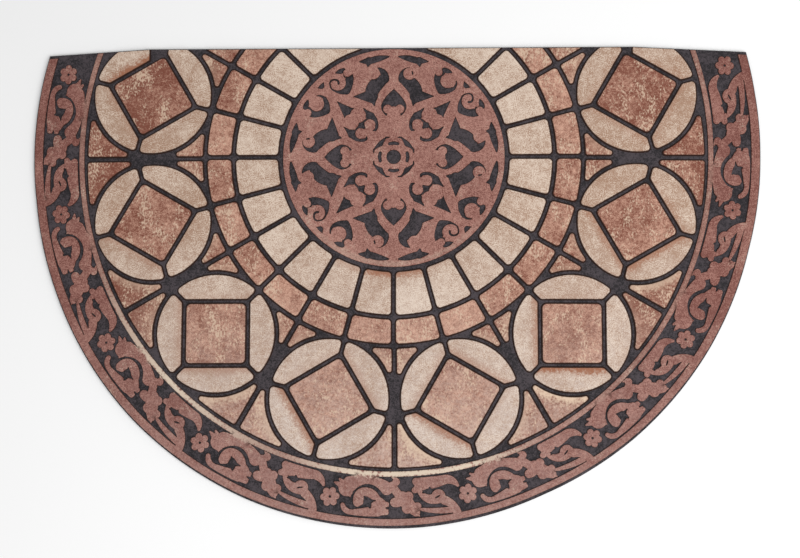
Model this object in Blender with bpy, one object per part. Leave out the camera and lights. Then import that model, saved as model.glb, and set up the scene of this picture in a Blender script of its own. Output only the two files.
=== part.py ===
"""Half-round rubber doormat with raised tiles, a pierced centre medallion and a scroll border.

One moulded sheet: a rubber base with every tile, strap and scroll standing up from it. The plan is
laid out in millimetres on complex numbers, with the real part to the right, the imaginary part
towards the curved edge, and zero at the middle of the medallion. A turn is an angle in degrees that
starts at the right and runs towards the curved edge.
"""
import cmath
import math

import bmesh
import bpy
from mathutils import Vector
from mathutils.geometry import delaunay_2d_cdt

MM = 0.001

# Overall sizes
BASE = 4.6               # rubber under the joints
RELIEF = 1.8             # height of the tiles above the joints
SINK = 1.0               # how far a raised piece reaches into the base before they are joined
CENTRE_DOWN = 137.2      # middle of the medallion below the straight edge
EDGE_MARGIN = 1.2        # bare rubber between a cut tile and the straight edge
STRIP_MARGIN = 4.0       # the same at the two ends of the outer strip

# The curve is a little uneven: the middle of the joint round the field and the outline itself
#    turn   joint  outline
CURVE = (
    (-20.0, 384.5, 453.0),
    (-10.0, 382.2, 448.6),
    (0.0, 379.8, 445.8),
    (15.0, 378.2, 443.2),
    (32.0, 377.2, 444.4),
    (50.0, 377.0, 444.6),
    (66.0, 377.0, 443.4),
    (86.0, 377.0, 446.0),
    (113.0, 378.2, 447.8),
    (134.0, 377.8, 446.8),
    (158.0, 376.4, 442.4),
    (173.0, 376.8, 441.2),
    (184.0, 378.2, 443.4),
    (200.0, 381.5, 447.4),
)
CURVE_STEP = 4.5

# The straight edge: level in the middle, sloping off to the two corners
TOP_LEVEL = (-303.0, 294.0)
CORNER_TURNS = (196.8, -16.7)

# Rings of tiles
MEDALLION = 135.5
CREAM_RING = (141.8, 193.0)
CLAY_RING = (199.3, 228.0)
FIELD_INNER = 234.3
JOINT = 6.0
RING_PITCH = 15.0
RING_TURNS = (-45.0, 225.0)
RING_END = 30.0          # the last tile at each end of the cream ring reaches this much further
RING_FILLET = 4.0

# Circle units, each a square in four lenses, and as uneven as the curve. The first and last rows
# are cut off by the straight edge and only bound the triangles beside them.
#    turn   centre  lens rim
UNITS = (
    (-45.0, 307.0, 71.5),
    (-14.7, 307.3, 72.3),
    (15.4, 304.8, 71.0),
    (45.2, 303.9, 70.2),
    (74.8, 303.8, 70.4),
    (104.7, 303.8, 71.2),
    (134.8, 304.0, 70.8),
    (164.7, 304.5, 70.4),
    (194.6, 307.2, 71.6),
    (225.0, 307.0, 71.5),
)
UNIT_JOINT = 6.2
QUARTER = 90.0
DIAGONAL = 45.0
LENS_CHORD = 0.588       # from the unit's middle to a lens, as a share of the lens rim
SQUARE_HALF = 0.502      # half a side of the square, as a share of the lens rim
SQUARE_FILLET = 5.0
LENS_FILLET = 4.0
SPANDREL_FILLET = 2.6
# The lens over each end square stops where the straight edge starts to slope
#    unit  lens  stop at       run that keeps it on the left
LENS_STOPS = (
    (1, 3, TOP_LEVEL[1], -1j),
    (-2, 0, TOP_LEVEL[0], 1j),
)

# Border band
FIELD_JOINT = 4.6
STRIP_INNER = 6.4        # width of the strip between the field and the scrolls
STRIP_OUTER = 10.2
BAND_NOMINAL = 59.0      # chart height from the inner strip to the outline
RIM_BARE = 1.2
REPEAT = 166.0           # chart length from one rosette to the next
ROSETTE_TURNS = (-15.5, 9.3, 32.6, 55.2, 77.7, 100.4, 123.7, 146.8, 170.2, 194.6)
ROSETTE_OUT = 30.0
PETALS = 6
PETAL_REACH = 7.6
PETAL_SIZE = 8.4
PETAL_TURN = -15.0

# Every stroke runs from one spot to another: its bow is the height of its arc, on the left side of
# its run, and its width is given at the start, the middle and the end. One repeat of the border, in
# millimetres along the band from its rosette and outwards from the inner strip:
#        along  out   along   out   bow  start middle end
SCROLL = (
    (16.0, 50.0, 29.0, 31.0, -2.0, 10.0, 9.0, 11.0),
    (19.0, 44.0, 55.0, 42.0, 2.0, 8.0, 7.0, 5.0),
    (36.0, 26.0, 36.5, 26.5, 0.0, 18.5, 18.5, 18.5),
    (37.0, 28.0, 57.0, 19.0, 5.4, 14.0, 12.0, 4.5),
    (12.0, 17.5, 33.0, 9.0, -4.5, 6.0, 9.0, 11.0),
    (33.0, 9.0, 62.0, 9.5, 0.0, 11.0, 12.0, 12.0),
    (52.0, 15.0, 62.0, 14.0, 0.0, 9.0, 10.0, 12.0),
    (63.0, 42.5, 80.0, 27.0, 0.0, 11.0, 18.0, 14.0),
    (61.0, 36.0, 72.0, 36.0, 0.0, 7.0, 9.0, 9.0),
    (70.0, 23.0, 72.0, 26.0, 0.0, 11.0, 12.0, 12.0),
    (84.0, 29.5, 86.0, 29.5, 0.0, 14.0, 14.0, 14.0),
    (76.0, 27.0, 98.0, 11.0, 0.0, 14.0, 9.0, 13.0),
    (87.0, 6.0, 96.0, 12.0, 0.0, 9.0, 9.0, 10.0),
    (98.0, 13.0, 144.0, 11.0, -8.0, 16.0, 10.0, 19.0),
    (140.0, 19.0, 154.0, 14.5, 1.0, 12.0, 14.0, 9.0),
    (152.0, 14.0, 163.5, 11.5, 0.0, 9.0, 6.0, 2.0),
    (101.0, 37.0, 141.0, 43.0, 4.2, 13.0, 11.0, 8.0),
    (138.0, 44.5, 147.0, 37.5, 2.4, 8.0, 7.4, 6.4),
    (104.0, 40.0, 97.5, 44.0, 0.0, 8.0, 5.0, 2.0),
    (97.5, 33.5, 103.0, 36.0, 0.0, 7.0, 9.0, 11.0),
    (105.0, 34.0, 122.0, 18.6, -3.0, 12.0, 11.0, 9.5),
    (120.0, 18.6, 130.5, 31.0, -4.5, 9.5, 12.0, 11.5),
)
SCROLL_CUTS = (
    (36.6, 28.0, 37.4, 28.6, 0.0, 2.4, 2.6, 2.4),
    (117.0, 35.0, 124.5, 25.0, 0.6, 2.0, 4.6, 1.6),
    (118.0, 35.4, 137.0, 39.6, -1.0, 1.6, 2.0, 2.4),
)

# One eighth of the medallion, in millimetres across and outwards along the axis of its ogee. Each
# list is drawn with its mirror image and turned to the four quarters.
MEDALLION_RIM = 7.2
HUB = 63.0
#        across  out  across  out   bow  start middle end
STRAPS = (
    (0.0, 126.0, 0.0, 90.0, 0.0, 15.0, 12.4, 13.0),
    (2.0, 89.5, 18.5, 60.0, 5.0, 7.0, 6.2, 6.8),
    (16.0, 45.0, 24.0, 60.0, 1.0, 6.4, 6.4, 6.4),
    (20.0, 57.0, 80.0, 80.0, 4.6, 6.8, 6.0, 8.0),
    (78.0, 78.0, 85.0, 85.0, 0.0, 12.0, 14.0, 20.0),
)
LEAVES = (
    (6.0, 119.0, 34.0, 110.0, 0.0, 8.0, 6.6, 12.0),
    (16.6, 105.6, 17.4, 106.0, 0.0, 13.6, 13.6, 13.6),
    (17.0, 108.0, 38.0, 108.0, 0.0, 10.0, 14.0, 22.0),
    (40.0, 104.0, 52.0, 78.0, -4.4, 22.0, 16.0, 8.0),
    (40.0, 112.0, 52.0, 110.0, 0.0, 20.0, 20.0, 10.0),
    (52.0, 106.5, 53.4, 106.0, 0.0, 9.0, 9.0, 9.0),
    (65.5, 95.5, 66.5, 95.0, 0.0, 16.8, 16.8, 16.8),
    (68.0, 98.0, 86.0, 95.0, 0.0, 12.0, 12.0, 12.0),
)
ARCH_CUTS = (
    (36.0, 36.0, 71.0, 71.0, 0.0, 35.0, 33.0, 1.0),
)
ARCH_LEAVES = (
    (19.0, 19.0, 33.0, 33.0, 0.0, 20.0, 18.0, 12.0),
    (26.0, 33.0, 29.0, 41.6, 0.0, 8.0, 8.0, 10.8),
    (39.0, 54.0, 45.5, 46.5, 0.0, 12.0, 14.0, 18.0),
    (38.0, 58.0, 42.0, 52.0, 0.0, 8.0, 8.0, 8.0),
)
HEART_CUTS = (
    (0.0, 84.0, 0.0, 66.0, 0.0, 1.0, 19.0, 28.0),
)
HEART_LEAVES = (
    (0.0, 47.0, 0.0, 56.0, 0.0, 22.0, 16.0, 14.0),
    (2.0, 58.5, 8.2, 60.0, 0.0, 8.0, 8.0, 8.4),
)
EYE_CUTS = (
    (0.0, 17.6, 5.0, 16.8, 0.0, 4.8, 4.8, 4.0),
    (6.6, 25.0, 18.2, 18.2, 1.0, 1.0, 3.0, 3.6),
)
RIM_CUTS = (
    (90.6, 90.6, 88.0, 88.0, 0.0, 1.0, 4.0, 7.0),
)
EYE_RADIUS = 8.0

# How finely the plan's curves are followed
ARC_TOLERANCE = 0.8      # most that a chord strays from its arc
STROKE_STEPS = 3
THINNING = 1.6           # points that shape the outline by less than this are left out
SPECK = 20.0             # smallest area, in square millimetres, that is raised or cut
CHIP = 80.0              # smallest area of a tile cut by the straight edge
FEWEST = 4               # an outline keeps at least so many points
PINCH_RADIUS = 1.2       # disc that joins two outlines meeting at a point
SAME_SPOT = 0.01
STRAIGHT = 100000.0      # radius of an arc that is as good as straight

RUBBER_COLOUR = (0.045, 0.04, 0.05, 1.0)
RUBBER_ROUGHNESS = 0.85


def clear_scene():
    for item in list(bpy.data.objects):
        bpy.data.objects.remove(item, do_unlink=True)


def spot(radius, turn, middle=0j):
    """The plan point at a radius and a turn about a middle."""
    return middle + cmath.rect(radius, math.radians(turn))


def curve_at(turn):
    """Radius of the field joint and of the outline at a turn, straight between the table's rows."""
    row = max(i for i, entry in enumerate(CURVE[:-1]) if entry[0] <= turn or i == 0)
    before, after = CURVE[row], CURVE[row + 1]
    share = (turn - before[0]) / (after[0] - before[0])
    return [low + (high - low) * share for low, high in zip(before[1:], after[1:])]


def rim_spot(turn):
    return spot(curve_at(turn)[1], turn)


# Arc-sided cells. A side is (centre, radius, sense): sense is 1 where the cell lies inside the
# circle and -1 where it lies outside, and a cell always has its inside on the left of its run.


def straight(point, heading):
    """A straight side through a point, as an arc so large that it doesn't bend."""
    return (point + 1j * heading * STRAIGHT, STRAIGHT, 1)


def radial(turn, outward):
    """The joint side of a radial joint, run outwards beyond it or inwards before it."""
    heading = spot(1.0, turn) * (1 if outward else -1)
    return straight(1j * heading * JOINT / 2, heading)


def corner(first, second, fillet):
    """Centre of the fillet where one side of a cell turns into the next."""
    reach_a = first[1] - first[2] * fillet
    reach_b = second[1] - second[2] * fillet
    span = abs(second[0] - first[0])
    heading = (second[0] - first[0]) / span
    along = (span * span + reach_a * reach_a - reach_b * reach_b) / (2.0 * span)
    aside = math.sqrt(max(reach_a * reach_a - along * along, 0.0))
    for side in (1, -1):
        point = first[0] + heading * complex(along, side * aside)
        run_a = first[2] * 1j * (point - first[0])
        run_b = second[2] * 1j * (point - second[0])
        if (run_a.conjugate() * run_b).imag > 0:
            return point
    return point


def arc(centre, start, end, sense):
    """Points from start up to but not including end, round a centre."""
    radius = abs(start - centre)
    sweep = cmath.phase((end - centre) / (start - centre))
    if sweep * sense < 0:
        sweep += 2.0 * math.pi * sense
    widest = 2.0 * math.acos(max(1.0 - ARC_TOLERANCE / radius, 0.0))
    steps = max(1, math.ceil(abs(sweep) / widest))
    return [centre + (start - centre) * cmath.exp(1j * sweep * i / steps) for i in range(steps)]


def cell(sides, fillet):
    """Closed outline of a cell with rounded corners."""
    count = len(sides)
    hearts = [corner(sides[i - 1], sides[i], fillet) for i in range(count)]

    def foot(side, heart):
        offset = heart - side[0]
        return side[0] + offset / abs(offset) * side[1]

    points = []
    for i, side in enumerate(sides):
        following = (i + 1) % count
        start = foot(side, hearts[i])
        end = foot(side, hearts[following])
        points += arc(side[0], start, end, side[2])
        points += arc(hearts[following], end, foot(sides[following], hearts[following]), 1)
    return points


def clip(points, point, heading):
    """The part of an outline on the left of a line through a point."""
    kept = []
    for i, here in enumerate(points):
        before = points[i - 1]
        side_before = ((before - point) / heading).imag
        side_here = ((here - point) / heading).imag
        if side_before * side_here < 0:
            kept.append(before + (here - before) * side_before / (side_before - side_here))
        if side_here >= 0:
            kept.append(here)
    return kept


def top_corners():
    """The straight edge's four points, from right to left."""
    level = -CENTRE_DOWN * 1j
    right = rim_spot(CORNER_TURNS[1])
    left = rim_spot(CORNER_TURNS[0])
    return [right, TOP_LEVEL[1] + level, TOP_LEVEL[0] + level, left]


def trim(points, margin=EDGE_MARGIN):
    """Cut an outline back to a margin inside the straight edge and its sloping ends."""
    edge = top_corners()
    for start, end in zip(edge, edge[1:]):
        heading = (end - start) / abs(end - start)
        points = clip(points, start - 1j * heading * margin, -heading)
    return points


# Tiles


def ring_tile(radii, start, end):
    early = radial(start, True)
    late = radial(end, False)
    return cell([early, (0j, radii[1], 1), late, (0j, radii[0], -1)], RING_FILLET)


def ring_tiles(radii):
    first, last = RING_TURNS
    turns = [first + i * RING_PITCH for i in range(round((last - first) / RING_PITCH) + 1)]
    turns = [first - RING_END] + turns + [last + RING_END]
    return [ring_tile(radii, start, end) for start, end in zip(turns, turns[1:])]


def square_tile(unit):
    turn, radius, rim = unit
    middle = spot(radius, turn)
    headings = [spot(1.0, turn + DIAGONAL + QUARTER * i) for i in range(4)]
    half = SQUARE_HALF * rim
    return cell([straight(middle - 1j * way * half, way) for way in headings], SQUARE_FILLET)


def lens_tiles(unit):
    turn, radius, rim = unit
    middle = spot(radius, turn)
    tiles = []
    for quarter in range(4):
        outward = spot(1.0, turn + DIAGONAL + QUARTER * quarter)
        early = outward * spot(1.0, -DIAGONAL)
        late = outward * spot(1.0, DIAGONAL)
        sides = [
            straight(middle + outward * LENS_CHORD * rim, -1j * outward),
            straight(middle + 1j * early * JOINT / 2, early),
            (middle, rim, 1),
            straight(middle - 1j * late * JOINT / 2, -late),
        ]
        tiles.append(cell(sides, LENS_FILLET))
    return tiles


def spandrel_tiles(before, after):
    """The four triangles beside the radial joint between two circle units."""
    turn = (before[0] + after[0]) / 2
    ring = (0j, FIELD_INNER, -1)
    field = (0j, curve_at(turn)[0] - FIELD_JOINT / 2, 1)
    early, late = [(spot(unit[1], unit[0]), unit[2] + UNIT_JOINT, -1) for unit in (before, after)]
    cells = [
        [radial(turn, True), late, ring],
        [radial(turn, False), ring, early],
        [radial(turn, True), field, late],
        [radial(turn, False), early, field],
    ]
    return [cell(sides, SPANDREL_FILLET) for sides in cells]


# Ornament, painted as overlapping shapes


def stroke(row):
    """Outline of a bowed, tapering stroke with round ends, from one row of a table."""
    start = complex(row[0], row[1])
    end = complex(row[2], row[3])
    bow, wide_start, wide_middle, wide_end = row[4:]
    heading = (end - start) / abs(end - start)
    left = []
    right = []
    for i in range(STROKE_STEPS + 1):
        share = i / STROKE_STEPS
        lift = 4.0 * bow * share * (1.0 - share)
        slope = 4.0 * bow * (1.0 - 2.0 * share) / abs(end - start)
        point = start + (end - start) * share + 1j * heading * lift
        across = 1j * heading * cmath.exp(1j * math.atan(slope))
        near = wide_start * (1.0 - share) * (1.0 - 2.0 * share)
        far = wide_end * share * (2.0 * share - 1.0)
        half = (near + 4.0 * wide_middle * share * (1.0 - share) + far) / 2.0
        left.append(point + across * half)
        right.append(point - across * half)
    start_cap = arc((left[0] + right[0]) / 2, left[0], right[0], 1)
    end_cap = arc((left[-1] + right[-1]) / 2, right[-1], left[-1], 1)
    return start_cap + right[:-1] + end_cap + list(reversed(left))[:-1]


def disc(middle, radius):
    start = middle + radius
    return arc(middle, start, middle - radius, 1) + arc(middle, middle - radius, start, 1)


def painted(layers):
    """Outlines of the raised area after painting (outline, raised) layers one over the other."""
    verts = []
    faces = []
    for outline, _ in layers:
        first = len(verts)
        verts += [Vector((point.real, point.imag)) for point in outline]
        loop = list(range(first, len(verts)))
        faces.append(loop if area_of(outline) > 0 else loop[::-1])
    spots, _, pieces, _, _, owners = delaunay_2d_cdt(verts, [], faces, 1, SAME_SPOT)
    raised = [piece for piece, owner in zip(pieces, owners) if owner and layers[max(owner)][1]]
    edges = {(a, b) for piece in raised for a, b in zip(piece, piece[1:] + piece[:1])}
    border = [(a, b) for a, b in edges if (b, a) not in edges]
    after = dict(border)
    pinches = [a for a, b in border if after[a] != b]
    if pinches:
        plugs = [(disc(complex(*spots[i]), PINCH_RADIUS), True) for i in pinches]
        return painted(layers + plugs)
    outlines = []
    while after:
        here = next(iter(after))
        loop = []
        while here in after:
            loop.append(complex(*spots[here]))
            here = after.pop(here)
        outlines.append(loop)
    return thinned([loop for loop in outlines if abs(area_of(loop)) > SPECK])


def area_of(points):
    """Signed area inside a closed outline."""
    return sum((a.conjugate() * b).imag for a, b in zip(points, points[1:] + points[:1])) / 2


def thinned(outlines):
    """Outlines without the points that hardly shape them, none of them led across another."""
    everything = [point for outline in outlines for point in outline]
    slim = []
    for outline in outlines:
        points = list(outline)
        held = set()
        while len(points) > max(len(held), FEWEST):
            strays = [stray(points, i) if points[i] not in held else THINNING
                      for i in range(len(points))]
            least = min(strays)
            if least >= THINNING:
                break
            place = strays.index(least)
            corner_points = (points[place - 1], points[place], points[(place + 1) % len(points)])
            if any(inside(other, corner_points) for other in everything):
                held.add(points[place])
            else:
                del points[place]
        slim.append(points)
    return slim


def stray(points, place):
    """How far a point lies off the line between its neighbours."""
    before = points[place - 1]
    run = points[(place + 1) % len(points)] - before
    return abs(((points[place] - before).conjugate() * run).imag) / max(abs(run), SAME_SPOT)


def inside(point, triangle):
    """Whether a point lies in a triangle and isn't one of its corners."""
    if point in triangle:
        return False
    turns = [((b - a).conjugate() * (point - a)).imag > 0
             for a, b in zip(triangle, triangle[1:] + triangle[:1])]
    return all(turns) or not any(turns)


def band_spot(point, start, end):
    """A chart point of the border bent into its place between two rosettes."""
    turn = start + (end - start) * point.real / REPEAT
    joint, outline = curve_at(turn)
    inner = joint + FIELD_JOINT / 2 + STRIP_INNER
    return spot(inner + point.imag * (outline - inner) / BAND_NOMINAL, turn)


def rosette():
    """Chart outlines of the flower that starts each repeat."""
    middle = complex(0.0, ROSETTE_OUT)
    turns = [PETAL_TURN + 360.0 * i / PETALS for i in range(PETALS)]
    petals = [disc(spot(PETAL_REACH, turn, middle), PETAL_SIZE / 2) for turn in turns]
    return [disc(middle, PETAL_REACH)] + petals


def strip(inner, outer):
    """A narrow band along the curve, between two functions of the turn."""
    count = round((CORNER_TURNS[0] - CORNER_TURNS[1]) / CURVE_STEP) + 2
    turns = [CORNER_TURNS[1] + (i - 1) * CURVE_STEP for i in range(count + 1)]
    near = [spot(inner(turn), turn) for turn in turns]
    far = [spot(outer(turn), turn) for turn in turns]
    return near + far[::-1]


def border_layers():
    """Strips, scrolls and rosettes of the whole border."""
    def field(turn):
        return curve_at(turn)[0] + FIELD_JOINT / 2

    def rim(turn):
        return curve_at(turn)[1] - RIM_BARE

    inner = strip(field, lambda turn: field(turn) + STRIP_INNER)
    outer = strip(lambda turn: rim(turn) - STRIP_OUTER, rim)
    layers = [(trim(inner), True), (trim(outer, STRIP_MARGIN), True)]
    scroll = [(stroke(row), True) for row in SCROLL]
    scroll += [(stroke(row), False) for row in SCROLL_CUTS]
    flower = [(shape, True) for shape in rosette()]
    last = ROSETTE_TURNS[-1]
    spans = list(zip(ROSETTE_TURNS, ROSETTE_TURNS[1:])) + [(last, 2 * last - ROSETTE_TURNS[-2])]
    for start, end in spans:
        shapes = flower if start == last else flower + scroll
        for shape, raised in shapes:
            bent = [band_spot(point, start, end) for point in shape]
            layers.append((trim(bent), raised))
    return layers


def eighths(rows):
    """Outlines of an eighth's rows, mirrored and turned to all four quarters."""
    shapes = []
    for row in rows:
        right = stroke(row)
        left = [complex(-point.real, point.imag) for point in right]
        for quarter in range(4):
            shapes += [[point * 1j ** quarter for point in half] for half in (right, left)]
    return shapes


def medallion_layers():
    layers = [(disc(0j, MEDALLION), True), (disc(0j, MEDALLION - MEDALLION_RIM), False)]
    layers.append((disc(0j, HUB), True))
    for rows, raised in (
        (ARCH_CUTS, False), (STRAPS, True), (LEAVES, True), (ARCH_LEAVES, True),
        (HEART_CUTS, False), (HEART_LEAVES, True), (EYE_CUTS, False), (RIM_CUTS, False),
    ):
        layers += [(shape, raised) for shape in eighths(rows)]
    layers.append((disc(0j, EYE_RADIUS), False))
    return [(trim(shape), raised) for shape, raised in layers]


# Solids


def flat_solid(name, outlines, low, high):
    """A mesh object of filled outlines between two heights, made from one flat curve."""
    curve = bpy.data.curves.new(name, 'CURVE')
    curve.dimensions = '2D'
    curve.fill_mode = 'BOTH'
    curve.extrude = (high - low) / 2 * MM
    for outline in outlines:
        spline = curve.splines.new('POLY')
        spline.points.add(len(outline) - 1)
        spline.use_cyclic_u = True
        for point, place in zip(spline.points, outline):
            point.co = (place.real * MM, -place.imag * MM, 0.0, 1.0)
    drawn = bpy.data.objects.new(name + '_outline', curve)
    middle = middle_of(base_outline())
    drawn.location = (-middle.real * MM, middle.imag * MM, (low + high) / 2 * MM)
    bpy.context.scene.collection.objects.link(drawn)
    graph = bpy.context.evaluated_depsgraph_get()
    mesh = bpy.data.meshes.new_from_object(drawn.evaluated_get(graph))
    solid = bpy.data.objects.new(name, mesh)
    solid.matrix_world = drawn.matrix_world
    bpy.data.objects.remove(drawn, do_unlink=True)
    weld(mesh)
    return solid


def middle_of(outline):
    """Middle of an outline's box."""
    across = [point.real for point in outline]
    down = [point.imag for point in outline]
    return complex(min(across) + max(across), min(down) + max(down)) / 2


def weld(mesh):
    shell = bmesh.new()
    shell.from_mesh(mesh)
    bmesh.ops.remove_doubles(shell, verts=shell.verts, dist=SAME_SPOT * MM)
    bmesh.ops.recalc_face_normals(shell, faces=shell.faces)
    shell.to_mesh(mesh)
    shell.free()


def base_outline():
    count = math.ceil((CORNER_TURNS[0] - CORNER_TURNS[1]) / CURVE_STEP)
    curve = [rim_spot(CORNER_TURNS[1] + i * CURVE_STEP) for i in range(count)]
    return curve + top_corners()[:0:-1]


def tile_outlines():
    tiles = ring_tiles(CREAM_RING) + ring_tiles(CLAY_RING)
    tiles += [square_tile(unit) for unit in UNITS[1:-1]]
    lenses = [lens_tiles(unit) for unit in UNITS]
    for unit, lens, stop, run in LENS_STOPS:
        lenses[unit][lens] = clip(lenses[unit][lens], complex(stop), run)
    for four in lenses[1:-1]:
        tiles += four
    for before, after in zip(UNITS, UNITS[1:]):
        tiles += spandrel_tiles(before, after)
    trimmed = [trim(tile) for tile in tiles]
    return thinned([tile for tile in trimmed if len(tile) > 2 and abs(area_of(tile)) > CHIP])


def rubber():
    material = bpy.data.materials.new('rubber')
    material.use_nodes = True
    shader = material.node_tree.nodes['Principled BSDF']
    shader.inputs['Base Color'].default_value = RUBBER_COLOUR
    shader.inputs['Roughness'].default_value = RUBBER_ROUGHNESS
    shader.inputs['Metallic'].default_value = 0.0
    return material


def build():
    clear_scene()
    parts = bpy.data.collections.new('doormat')
    cutters = bpy.data.collections.new('construction')
    bpy.context.scene.collection.children.link(parts)
    bpy.context.scene.collection.children.link(cutters)
    mat = flat_solid('mat', [base_outline()], 0.0, BASE)
    raised = tile_outlines() + painted(medallion_layers()) + painted(border_layers())
    relief = flat_solid('relief', raised, BASE - SINK, BASE + RELIEF)
    parts.objects.link(mat)
    cutters.objects.link(relief)
    relief.hide_render = True
    relief.display_type = 'WIRE'
    join = mat.modifiers.new('relief', 'BOOLEAN')
    join.operation = 'UNION'
    join.object = relief
    join.solver = 'EXACT'
    mat.data.materials.append(rubber())


build()
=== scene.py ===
"""Half-round rubber doormat: one moulding, flocked and printed on its raised tiles and scrolls.

The plan is laid out in millimetres on complex numbers, with the real part to the right, the
imaginary part towards the curved edge, and zero at the middle of the medallion. A turn is an angle
in degrees that starts at the right and runs towards the curved edge.
"""

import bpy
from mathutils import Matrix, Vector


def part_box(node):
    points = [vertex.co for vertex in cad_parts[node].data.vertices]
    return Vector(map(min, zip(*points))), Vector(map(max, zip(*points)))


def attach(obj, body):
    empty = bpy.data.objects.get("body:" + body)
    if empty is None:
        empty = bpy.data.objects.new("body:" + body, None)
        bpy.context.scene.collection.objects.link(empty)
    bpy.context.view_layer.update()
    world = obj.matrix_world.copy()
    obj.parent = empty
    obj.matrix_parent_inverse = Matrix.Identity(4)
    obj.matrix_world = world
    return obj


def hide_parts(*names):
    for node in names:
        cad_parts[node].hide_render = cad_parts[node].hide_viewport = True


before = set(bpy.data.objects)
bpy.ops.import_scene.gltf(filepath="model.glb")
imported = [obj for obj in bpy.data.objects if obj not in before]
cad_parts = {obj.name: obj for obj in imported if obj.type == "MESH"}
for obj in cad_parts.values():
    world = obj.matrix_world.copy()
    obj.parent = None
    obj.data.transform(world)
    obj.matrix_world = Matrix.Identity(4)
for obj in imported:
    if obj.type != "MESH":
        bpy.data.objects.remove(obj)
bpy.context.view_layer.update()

import cmath
import math
import random

import bpy
from bpy.props import FloatProperty, FloatVectorProperty, PointerProperty
from mathutils import Vector
from mathutils.geometry import delaunay_2d_cdt
from mathutils.kdtree import KDTree

bl_info = {
    "name": "Half-round doormat",
    "version": (1, 0, 0),
    "blender": (4, 5, 0),
    "location": "View3D > Sidebar > Doormat",
    "description": "Builds a moulded rubber doormat with flocked, printed tiles",
    "category": "Mesh",
}

MM = 0.001
LOWEST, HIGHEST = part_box("mat")
THICKNESS = HIGHEST.z - LOWEST.z

# Overall plan
CENTRE_DOWN = 137.2      # middle of the medallion below the straight edge
EDGE_MARGIN = 1.2        # bare rubber between a cut tile and the straight edge
FOOT_MARGIN = 0.1        # the same for the foot of its wall
STRIP_MARGIN = 4.0       # the same at the two ends of the outer strip

# The curve is a little uneven: the middle of the joint round the field, the outer edge of the
# outer strip and the outline itself
#    turn   joint  strip  outline
CURVE = (
    (-20.0, 384.5, 451.8, 453.0),
    (-10.0, 382.2, 447.4, 448.6),
    (0.0, 379.8, 444.6, 445.8),
    (15.0, 378.2, 442.0, 443.2),
    (32.0, 377.2, 442.8, 444.4),
    (50.0, 377.0, 441.8, 444.6),
    (66.0, 377.0, 439.8, 443.4),
    (86.0, 377.0, 442.4, 446.0),
    (113.0, 378.2, 445.4, 447.8),
    (134.0, 377.8, 445.2, 446.8),
    (158.0, 376.4, 441.2, 442.4),
    (173.0, 376.8, 440.0, 441.2),
    (184.0, 378.2, 442.2, 443.4),
    (200.0, 381.5, 446.2, 447.4),
)
CURVE_STEP = 1.0

# The straight edge: level in the middle, sloping off to the two corners
TOP_LEVEL = (-303.0, 294.0)
CORNER_TURNS = (196.8, -16.7)

# Rings of tiles
MEDALLION = 135.5
MEDALLION_RIM = 8.4
CREAM_RING = (141.8, 193.0)
CLAY_RING = (199.3, 228.0)
FIELD_INNER = 234.3
JOINT = 6.0
RING_PITCH = 15.0
RING_TURNS = (-45.0, 225.0)
RING_END = 30.0          # the last tile at each end of the cream ring reaches this much further
RING_FILLET = 4.0
# How far the burnt edge shows on tiles of the cream ring, by the turn of a tile's middle
CREAM_STAINS = {67.5: 0.2, 82.5: 0.8, 97.5: 0.9, 112.5: 0.4}

# Circle units, each a square in four lenses, and as uneven as the curve. The first and last rows
# are cut off by the straight edge and only bound the triangles beside them. The mood says how pale
# the square's print is; the deepest moods, on the squares at the two ends of the straight edge and
# most on the left, are partly painted shade. The last four columns say how far the burnt edge shows
# on each lens.
#    turn   centre  lens rim  mood  lens stains
UNITS = (
    (-45.0, 307.0, 71.5),
    (-14.7, 307.3, 72.3, -2.2, 0.3, 0.35, 0.2, 0.2),
    (15.4, 304.8, 71.0, -1.1, 0.8, 0.6, 0.0, 0.3),
    (45.2, 303.9, 70.2, -0.9, 1.0, 0.65, 0.1, 0.0),
    (74.8, 303.8, 70.4, -1.2, 0.8, 0.3, 0.5, 0.15),
    (104.7, 303.8, 71.2, -0.6, 0.8, 0.2, 0.4, 0.1),
    (134.8, 304.0, 70.8, -1.2, 0.35, 0.15, 0.0, 0.5),
    (164.7, 304.5, 70.4, -1.3, 0.1, 0.0, 0.1, 0.45),
    (194.6, 307.2, 71.6, -3.1, 1.0, 0.1, 0.1, 0.3),
    (225.0, 307.0, 71.5),
)
# How far a pale edge shows on the two outer triangles between each two units, and on all inner ones
SPANDREL_PALE = (
    (0.0, 0.0), (0.0, 0.0), (0.6, 0.1), (1.0, 0.3), (0.8, 0.1), (0.4, 0.6), (0.2, 0.4),
    (0.0, 0.0), (0.0, 0.0),
)
INNER_PALE = 0.2
UNIT_JOINT = 6.2
QUARTER = 90.0
DIAGONAL = 45.0
LENS_CHORD = 0.588       # from the unit's middle to a lens, as a share of the lens rim
SQUARE_HALF = 0.502      # half a side of the square, as a share of the lens rim
SQUARE_FILLET = 5.0
LENS_FILLET = 4.0
SPANDREL_FILLET = 2.6
# The lens over each end square stops where the straight edge starts to slope
# (unit, lens, where it stops, run that keeps it on the left)
LENS_STOPS = ((1, 3, TOP_LEVEL[1], -1j), (-2, 0, TOP_LEVEL[0], 1j))

# Border band
FIELD_JOINT = 4.6
STRIP_INNER = 6.4        # width of the strip between the field and the scrolls
STRIP_OUTER = 11.4       # from the outline to the inner edge of the outer strip
STRIP_OVER = 6.0         # degrees that a strip is drawn past the corners before it is cut off
BAND_NOMINAL = 59.0      # chart height from the inner strip to the outline
REPEAT = 166.0           # chart length from one rosette to the next
ROSETTE_TURNS = (-15.5, 9.3, 32.6, 55.2, 77.7, 100.4, 123.7, 146.8, 170.2, 194.6)
ROSETTE_OUT = 28.5
PETALS = 6
PETAL_REACH = 7.4
PETAL_SIZE = 8.2
PETAL_TURN = 14.0
PETAL_EYE = 1.3

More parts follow.
